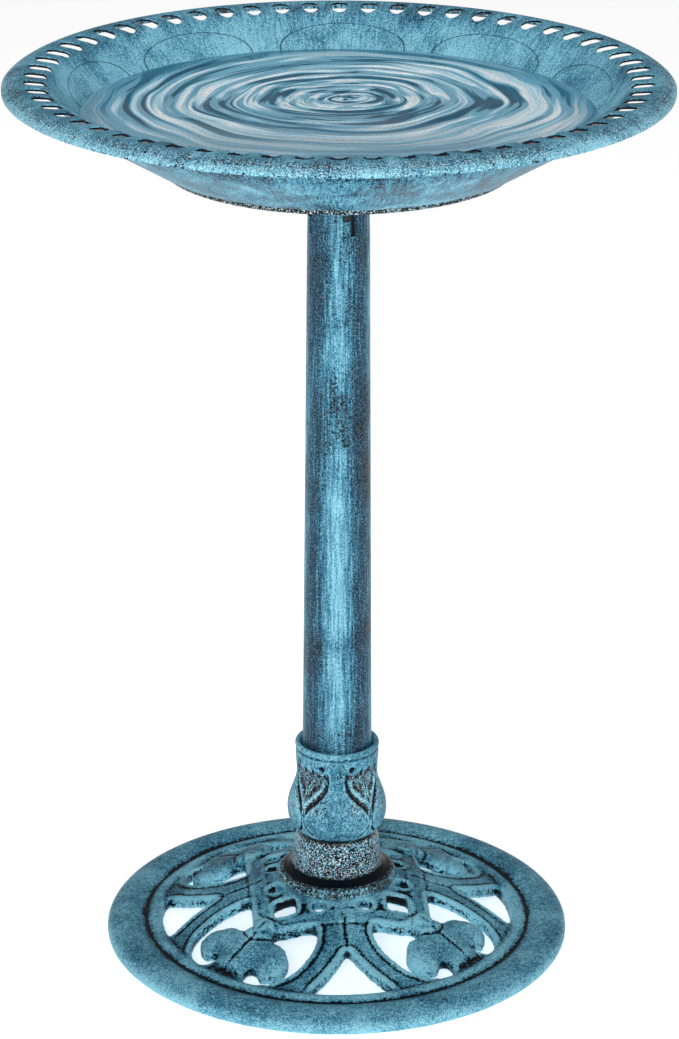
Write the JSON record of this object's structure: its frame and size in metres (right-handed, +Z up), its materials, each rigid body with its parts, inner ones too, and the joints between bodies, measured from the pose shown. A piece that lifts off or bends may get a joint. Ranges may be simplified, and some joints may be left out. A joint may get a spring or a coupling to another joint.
{
  "type": "bird bath",
  "caption": "Pedestal bird bath: shallow basin with a slotted rim, tapered column, leaf collar and domed openwork base.",
  "frame": {"origin": "on the axis, at ground level under the base", "axes": "+Z up along the column; +X to the right and -Y to the front as the bath is usually seen"},
  "size_m": [0.503, 0.503, 0.7093],
  "materials": {
    "base_paint": "verdigris blue paint sponged over black, on moulded resin",
    "collar_paint": "verdigris blue paint speckled over black, on moulded resin",
    "column_paint": "verdigris blue paint brushed over black, on moulded resin",
    "basin_paint": "verdigris blue paint sponged over black, on moulded resin",
    "black_resin": "moulded black resin, unpainted",
    "zinc": "zinc-plated steel"
  },
  "bodies": {
    "pedestal": {"base_casting": "base_paint", "collar": "collar_paint", "collar_screws": "zinc", "centre_washer": "zinc", "centre_bolt": "zinc", "column_nut": "zinc", "column_foot_plug": "black_resin", "column_tube": "column_paint"},
    "basin": {"basin": "basin_paint", "basin_lock_plug": "black_resin", "basin_lock_screws": "zinc"}
  },
  "joints": [
    {"name": "basin_twist", "type": "hinge", "parent": "pedestal", "child": "basin", "pos_m": [0, 0, 0.604], "axis": [0, 0, 1], "range_deg": [0, 14]}
  ]
}
